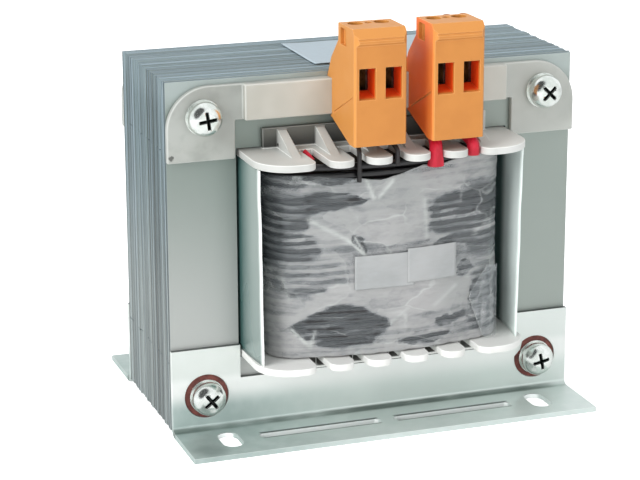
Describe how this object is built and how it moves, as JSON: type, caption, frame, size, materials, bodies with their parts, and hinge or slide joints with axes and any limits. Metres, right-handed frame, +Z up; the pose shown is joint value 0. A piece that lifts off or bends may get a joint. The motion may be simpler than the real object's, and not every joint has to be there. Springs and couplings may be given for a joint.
{
  "type": "laminated chassis transformer",
  "caption": "Chassis transformer: interleaved laminated steel core, film-wrapped winding on a fingered bobbin, folded slotted feet and clip-on screw terminal blocks.",
  "frame": {"origin": "under the middle of the core, on the plane of the feet", "axes": "+X along the core's width, -Y out of the front face with the terminals, +Z up"},
  "size_m": [0.12, 0.091, 0.1158],
  "materials": {
    "core_steel": "dull rolled sheet edges",
    "bobbin_plastic": "white moulded nylon",
    "enamelled_wire": "black wire enamel",
    "barrier_paper": "varnished insulating paper",
    "clear_film": "clear crinkled film",
    "label_paper": "blank paper",
    "milky_sheet": "milky translucent film",
    "plated_sheet": "zinc plated",
    "carrier_plastic": "translucent off-white moulding",
    "terminal_plastic": "orange moulding",
    "clamp_metal": "plated",
    "black_insulation": "smooth",
    "red_sleeve": "satin sleeve",
    "plated_fastener": "bright zinc plated",
    "fibre": "hard brown-red fibre",
    "tag_copper": "dull copper"
  },
  "bodies": {
    "root": {"e_laminations": "core_steel", "i_laminations": "core_steel", "bobbin": "bobbin_plastic", "primary_winding": "enamelled_wire", "winding_barrier": "barrier_paper", "secondary_winding": "enamelled_wire", "film_wrap": "clear_film", "coil_label": "label_paper", "side_sheet_left": "milky_sheet", "side_sheet_right": "milky_sheet", "front_foot_bracket": "plated_sheet", "rear_foot_bracket": "plated_sheet", "front_terminal_carrier": "carrier_plastic", "rear_terminal_carrier": "carrier_plastic", "terminal_housing_left": "terminal_plastic", "terminal_housing_right": "terminal_plastic", "clamp_cages": "clamp_metal", "clamp_screws": "clamp_metal", "primary_leads": "black_insulation", "secondary_leads": "enamelled_wire", "lead_sleeves": "red_sleeve", "through_bolts": "plated_fastener", "spring_washers": "plated_fastener", "front_washers": "plated_fastener", "rear_washers": "plated_fastener", "hex_nuts": "plated_fastener", "fibre_washers": "fibre", "bolt_bushes": "fibre", "earth_tag": "tag_copper", "core_label": "label_paper"}
  },
  "joints": []
}
